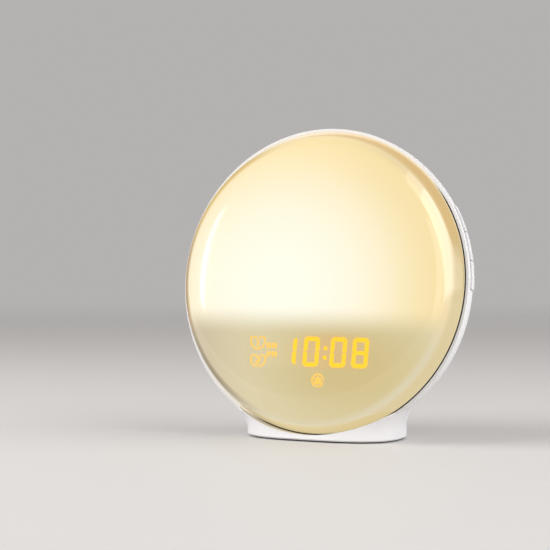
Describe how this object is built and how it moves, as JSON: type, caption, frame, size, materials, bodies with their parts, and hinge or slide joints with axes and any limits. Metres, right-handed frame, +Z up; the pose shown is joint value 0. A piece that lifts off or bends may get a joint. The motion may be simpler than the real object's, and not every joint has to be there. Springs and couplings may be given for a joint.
{
  "type": "sunrise alarm clock",
  "caption": "Round leaning bedside lamp clock: opal domed front with a glowing display, keys on the rim, bulged back with a speaker grille, blended foot.",
  "frame": {"origin": "on the table, under the middle of the clock's whole width and depth", "axes": "+Z up, -Y out of the front, +X to the right of someone facing the front"},
  "size_m": [0.1714, 0.0784, 0.1703],
  "materials": {
    "housing": "fine satin moulding",
    "cover": "opal, lit from behind",
    "key": "fine satin moulding",
    "base": "fine texture",
    "reflector": "bright white",
    "led_board": "white solder mask",
    "led": "phosphor over a white case",
    "display": "grey filled resin",
    "segment_lit": "lit amber window",
    "segment_off": "unlit window",
    "ribbon": "flat cable",
    "board": "green solder mask",
    "board_parts": "moulded packages",
    "switch": "moulded",
    "gasket": "foam ring",
    "speaker_frame": "pressed",
    "speaker_magnet": "ferrite and steel",
    "speaker_cone": "pulp and rubber surround",
    "inlet": "moulded",
    "contact": "plated spring strip",
    "screw": "zinc plated",
    "foot": "soft pad",
    "cell": "bright can"
  },
  "bodies": {
    "clock": {"rear_housing": "housing", "front_cover": "cover", "base_plate": "base", "base_screws": "screw", "rubber_feet": "foot", "reflector_tray": "reflector", "led_board": "led_board", "led_chips": "led", "display_block": "display", "segments_lit": "segment_lit", "segments_off": "segment_off", "display_marks": "segment_lit", "display_ribbon": "ribbon", "main_board": "board", "board_parts": "board_parts", "key_board_right": "board", "key_board_left": "board", "snooze_board": "board", "switches_right": "switch", "switches_left": "switch", "switches_snooze": "switch", "speaker_gasket": "gasket", "speaker_frame": "speaker_frame", "speaker_magnet": "speaker_magnet", "speaker_cone": "speaker_cone", "inlet_body": "inlet", "inlet_pin_contact": "contact", "coin_cell": "cell", "cell_contacts": "contact", "tray_screws": "screw", "board_screws": "screw"},
    "key_right_upper": {"key_right_upper": "key"},
    "key_right_middle": {"key_right_middle": "key"},
    "key_right_lower": {"key_right_lower": "key"},
    "key_left_upper": {"key_left_upper": "key"},
    "key_left_middle": {"key_left_middle": "key"},
    "key_left_lower": {"key_left_lower": "key"},
    "snooze_key": {"snooze_key": "key"},
    "cell_door": {"cell_door": "base"}
  },
  "joints": [
    {"name": "key_right_upper_press", "type": "slide", "parent": "clock", "child": "key_right_upper", "axis": [-0.9724, -0.0244, -0.2322], "range_m": [0, 0.0006], "stiffness_N_per_m": 1500, "springref_m": -0.0004},
    {"name": "key_right_middle_press", "type": "slide", "parent": "clock", "child": "key_right_middle", "axis": [-0.9724, -0.0244, -0.2322], "range_m": [0, 0.0006], "stiffness_N_per_m": 1500, "springref_m": -0.0004},
    {"name": "key_right_lower_press", "type": "slide", "parent": "clock", "child": "key_right_lower", "axis": [-0.9724, -0.0244, -0.2322], "range_m": [0, 0.0006], "stiffness_N_per_m": 1500, "springref_m": -0.0004},
    {"name": "key_left_upper_press", "type": "slide", "parent": "clock", "child": "key_left_upper", "axis": [0.9724, -0.0244, -0.2322], "range_m": [0, 0.0006], "stiffness_N_per_m": 1500, "springref_m": -0.0004},
    {"name": "key_left_middle_press", "type": "slide", "parent": "clock", "child": "key_left_middle", "axis": [0.9724, -0.0244, -0.2322], "range_m": [0, 0.0006], "stiffness_N_per_m": 1500, "springref_m": -0.0004},
    {"name": "key_left_lower_press", "type": "slide", "parent": "clock", "child": "key_left_lower", "axis": [0.9724, -0.0244, -0.2322], "range_m": [0, 0.0006], "stiffness_N_per_m": 1500, "springref_m": -0.0004},
    {"name": "snooze_key_press", "type": "slide", "parent": "clock", "child": "snooze_key", "axis": [0, -0.1045, -0.9945], "range_m": [0, 0.0006], "stiffness_N_per_m": 1500, "springref_m": -0.0004},
    {"name": "cell_door_twist", "type": "hinge", "parent": "clock", "child": "cell_door", "pos_m": [-0.0205, 0.00146, 0.0016], "axis": [0, 0, 1], "range_deg": [0, 40]}
  ]
}
